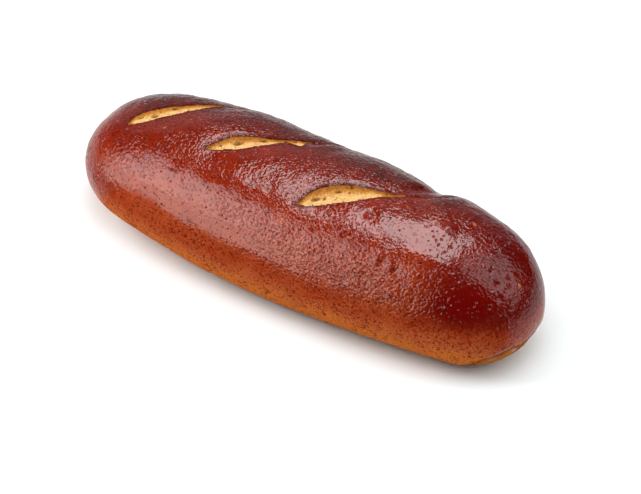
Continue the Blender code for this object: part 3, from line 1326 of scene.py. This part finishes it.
    def paint_layers(self, crust: Piece) -> None:
        """Paint the crust's browning, glaze, singeing, bumps, marks and painted shade.

        Args:
            crust: The opened crust.
        """
        points = rows_of(crust)
        x, _, z = points.T / MM
        height = z + grain(points, *self.wander)
        ends = 15 * eased(-x, 52, 72) + 12 * eased(x, 64, 77)
        shine_line = 22.5 + 4 * eased(-x, 0, 45) - ends
        soft = 1 + 1.2 * eased(-x, 45, 65)
        deep, scorch_and_shade, bumpy = self.deep(points), self.scorch_and_shade(points), self.bumpy.weight(points)
        smooth = sum(zone.weight(points) for zone in self.smooth)
        calm = 0.15 * smooth + 0.1 * (1 - eased(z, 16, 24)) + 0.15 * deep
        rough = 0.26 + grain(points, (14, 6.1, 0.24)) + 0.45 * bumpy + 0.4 * scorch_and_shade
        gritty = 0.05 + 0.27 * eased(z, 17, 24) + grain(points, (9, 3.7, 0.35))
        over = self.bun.seam.over(points) / MM
        layers = {
            Layer.BAKE: self.bake_and_shade(points, height),
            Layer.DEEP: deep,
            Layer.GLAZE: np.clip((height - shine_line) / soft, -8, 8),
            Layer.PEEL: np.clip(rough - calm, 0.05, 0.8),
            Layer.GRIT: np.clip(gritty + 0.3 * bumpy - 0.3 * smooth, 0.02, 0.9),
            Layer.SCORCH: scorch_and_shade,
            Layer.STRIP: 1 - eased(over, -0.4, 0.4),
            # Painted shade in the crease along the seam.
            Layer.SEAM: hump(over, 0.0, 0.55) * (0.2 + 0.55 * eased(x, 60, 68)),
        }
        for layer, marks in MARKS.items():
            layers[layer] = np.max([mark.weight(points) for mark in marks], axis=0)
        for layer, values in layers.items():
            paint(crust, layer, values)


@dataclass(frozen=True)
class Crumb:
    """The crumb that shows in one opened slash, laid in under its lips."""

    bun: Bun
    slash: Slash
    finish: OpenCrumb = OpenCrumb()
    rows: int = 260
    columns: int = 48
    overrun: float = 0.01
    tuck: float = 0.35 * MM
    lips: float = 0.8
    wide_enough: Pair = (1.2 * MM, 4.0 * MM)
    front_depth: float = 0.06 * MM
    trough_depth: float = 0.28 * MM
    back_depth: float = 0.14 * MM
    pore_depth: float = 0.50 * MM
    fine_pores: Point = (0.85, 6.3, 1.0)
    fine_start: float = 0.42
    fine_rise: float = 2.5
    lumps: tuple[Point, ...] = ((2.2, 4.4, 0.14), (0.9, 9.1, 0.09))
    thickness: float = 2.2 * MM
    sharp: float = math.radians(60)

    def build(self) -> Piece:
        """Lay, roughen, thicken, paint and dress the crumb.

        Returns:
            The crumb.
        """
        crumb, along, column = ribbon(self.slash.name, self.rows, self.columns)
        start, end = self.slash.span
        share = start - self.overrun + (end - start + 2 * self.overrun) * along
        front, back = self.slash.edges(share)
        front, back = front - self.tuck, back + self.tuck
        x, y = self.slash.place(share, front + (back - front) * column)
        wide = eased(back - front, *self.wide_enough)
        points = np.stack([x, y, self.bun.top(x, y, self.lips) - self.depth(column, wide)], -1)
        shaded_hollow = self.hollows(share, column, points)
        lift = grain(points, *self.lumps) * MM
        points[:, 2] += lift * wide - shaded_hollow * self.pore_depth
        mould(crumb, points)
        # Darker to the back and in narrow parts: browned crumb, with painted shade under the lip.
        toast_and_shade = 0.10 + 0.75 * eased(column, 0.30, 0.95) + 0.9 * (1 - wide)
        paint(crumb, Layer.TOAST, np.clip(toast_and_shade, 0, 1))
        # Painted shade in the pores.
        paint(crumb, Layer.HOLLOW, 0.9 * shaded_hollow)
        finish_with(crumb, "SOLIDIFY", thickness=self.thickness, offset=-1.0)
        shade(crumb, self.sharp)
        crumb.data.materials.append(self.finish.material())
        return crumb

    def depth(self, column: Array, wide: Array) -> Array:
        """Give how far the crumb lies below the crust, from its front to its back edge."""
        slope = (self.back_depth - self.front_depth) * eased(column, 0.2, 1.0)
        return self.front_depth + slope + self.trough_depth * hump(column, 0.60, 0.30) * wide

    def hollows(self, share: Array, column: Array, points: Array) -> Array:
        """Give the crumb's pores.

        Args:
            share: The share of the slash's length at each point.
            column: The share of its width.
            points: The crumb's points.

        Returns:
            The depth at each point, as a share of a full pore.
        """
        pores = np.zeros(len(share))
        front, back = self.slash.edges(share)
        for pore_share, pore_column, long, wide in self.slash.pores:
            along = (share - pore_share) * self.slash.length / (long * MM)
            across = (column - pore_column) * (back - front) / (wide * MM)
            pores = np.maximum(pores, np.exp(-((along**2 + across**2) ** 1.5)))
        fine = np.clip(grain(points, self.fine_pores) - self.fine_start, 0, 1)
        return np.clip(pores + fine * self.fine_rise, 0, 1)


# --- The studio -----------------------------------------------------------------------


class Use(Enum):
    """What a lamp is for: its mirror image in the glaze, or the light on matte surfaces."""

    SHINE = "shine"
    LIGHT = "light"


@dataclass(frozen=True)
class Softbox:
    """A soft lamp: an even panel that faces a point."""

    name: str
    use: Use
    place: Point
    aim: Point
    size: Pair
    glow: float

    def build(self) -> None:
        """Hang the lamp."""
        data = bpy.data.lights.new(self.name, "AREA")
        data.shape = "RECTANGLE"
        data.size, data.size_y = self.size
        data.energy = self.glow * math.pi * self.size[0] * self.size[1]
        lamp = bpy.data.objects.new(self.name, data)
        bpy.context.scene.collection.objects.link(lamp)
        lamp.location = self.place
        facing = Vector(self.aim) - Vector(self.place)
        lamp.rotation_euler = facing.to_track_quat("-Z", "Y").to_euler()
        lamp.visible_camera = False
        lamp.visible_glossy = self.use is Use.SHINE
        lamp.visible_diffuse = self.use is Use.LIGHT


def bearing(azimuth: float, elevation: float) -> Vector:
    """Give the direction at an azimuth from straight in front, and an elevation."""
    flat, rise = math.cos(elevation), math.sin(elevation)
    return Vector((flat * math.sin(azimuth), -flat * math.cos(azimuth), rise))


def soft_light(name: str, azimuth: float, elevation: float, glow: float) -> Softbox:
    """Place a lamp that lights matte surfaces, by degrees round the bun and over the floor."""
    place = LAMP_DISTANCE * bearing(math.radians(azimuth), math.radians(elevation))
    return Softbox(name, Use.LIGHT, tuple(place), (0.0, 0.0, 0.0), LAMP_SIZE, glow)


def shine_panel(name: str, place: Point, aim: Point, size: Pair, glow: float) -> Softbox:
    """Place a panel that shows only as its mirror image in the glaze."""
    return Softbox(name, Use.SHINE, place, aim, size, glow)


@dataclass(frozen=True)
class Studio:
    """The floor, the lamps, the pale surroundings and the camera.

    The surroundings glow towards three directions: below, behind and far to the
    left. A row says where a glow starts and where it is full, and its strength at
    each.
    """

    floor_size: float = 1.0
    floor_colour: Colour = (0.90, 0.955, 0.965, 1)
    floor_fill: Row = (0.20, 0.60, 0.0, 0.9)
    white: float = 1.25
    glows: tuple[tuple[Point, Row], ...] = (
        ((0.0, 0.0, -1.0), (0.02, 0.20, 0.0, 1.0)),
        ((0.0, 1.0, 0.0), (-0.50, 0.10, 0.0, 1.0)),
        ((-0.55, 0.83, 0.0), (0.60, 0.90, 0.0, 0.45)),
    )
    azimuth: float = 0.5603
    elevation: float = math.radians(43)
    distance: float = 0.8281
    lens: float = 145.83
    aim: Point = (0.0058, -0.0033, 0.0141)
    lamps: tuple[Softbox, ...] = (
        shine_panel(
            "front_left_panel", (-0.275, -0.367, 0.19), (-0.007, 0.015, 0.19), (0.56, 0.66), 2.45
        ),
        shine_panel(
            "front_left_core", (-0.330, -0.350, 0.24), (-0.007, 0.015, 0.06), (0.32, 0.30), 1.5
        ),
        shine_panel("top_panel", (-0.145, 0.125, 0.80), (-0.145, 0.125, 0.0), (0.45, 0.75), 5.9),
        shine_panel("right_panel", (0.44, 0.094, 0.46), (0.03, 0.0, 0.03), (0.52, 0.64), 1.7),
        soft_light("left_light", -70, 30, 7.0),
        soft_light("far_light", -100, 12, 1.0),
        soft_light("front_light", 25, 55, 1.8),
        soft_light("right_light", 95, 55, 1.7),
        soft_light("back_light", 130, 30, 1.6),
        soft_light("high_back_light", 155, 55, 1.6),
        soft_light("top_light", 0, 90, 3.2),
    )

    def build(self) -> None:
        """Set up the studio."""
        self.lay_floor()
        for lamp in self.lamps:
            lamp.build()
        self.surround()
        self.place_camera()
        bpy.context.scene.view_settings.view_transform = "Standard"

    def lay_floor(self) -> None:
        """Lay a plain pale floor that stays as bright far from the lamps as it is under them."""
        floor = start_from(bpy.ops.mesh.primitive_plane_add, "floor", size=self.floor_size)
        floor.visible_glossy = False
        recipe = Recipe(bpy.data.materials.new("floor_paint"))
        away = recipe.vector("LENGTH", recipe.place, result="Value")
        inputs = {
            "Base Color": self.floor_colour,
            "Roughness": 1.0,
            "Specular IOR Level": 0.0,
            "Emission Color": self.floor_colour,
            "Emission Strength": recipe.stretch(away, *self.floor_fill),
        }
        shader = recipe.add("ShaderNodeBsdfPrincipled", inputs)
        floor.data.materials.append(recipe.finish(shader))

    def surround(self) -> None:
        """Let the glaze mirror a pale floor behind and beside the bun, and show white beyond it."""
        world = bpy.data.worlds.new("studio")
        bpy.context.scene.world = world
        sky = Recipe(world, "Generated")
        below, behind, far_left = (
            sky.stretch(sky.vector("DOT_PRODUCT", sky.place, towards, result="Value"), *rise)
            for towards, rise in self.glows
        )
        rays = sky.add("ShaderNodeLightPath").outputs
        pale = sky.reckon("MAXIMUM", sky.times(below, behind), far_left)
        mirrored = sky.times(pale, rays["Is Glossy Ray"])
        strength = sky.reckon("MAXIMUM", mirrored, sky.times(rays["Is Camera Ray"], self.white))
        sky.finish(sky.add("ShaderNodeBackground", {"Strength": strength}), "World")

    def place_camera(self) -> None:
        """Set the camera at the photograph's viewing angle."""
        back = bearing(self.azimuth, self.elevation)
        data = bpy.data.cameras.new("camera")
        data.lens = self.lens
        data.clip_start = 0.01
        camera = bpy.data.objects.new("camera", data)
        bpy.context.scene.collection.objects.link(camera)
        turn = back.to_track_quat("Z", "Y").to_matrix().to_4x4()
        camera.matrix_world = Matrix.Translation(Vector(self.aim) + back * self.distance) @ turn
        bpy.context.scene.camera = camera


# --- Putting it together --------------------------------------------------------------


def seat(piece: Piece, move: Array) -> None:
    """Move a finished piece to the solid's place and let it ride on the bun.

    Args:
        piece: The finished piece.
        move: How far it moves.
    """
    mould(piece, rows_of(piece) + move)
    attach(piece, "root")
    LOG.info("%s: %d faces", piece.name, len(piece.data.polygons))


def main() -> None:
    """Build the bun's looks and its studio."""
    logging.basicConfig(level=logging.INFO, format="%(name)s: %(message)s")
    bun = Bun()
    move = bun.seat()
    crust = Crust(bun).build()
    seat(crust, move)
    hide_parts("bun")
    for slash in bun.slashes:
        seat(Crumb(bun, slash).build(), move)
    Studio().build()


if __name__ == "__main__":
    main()
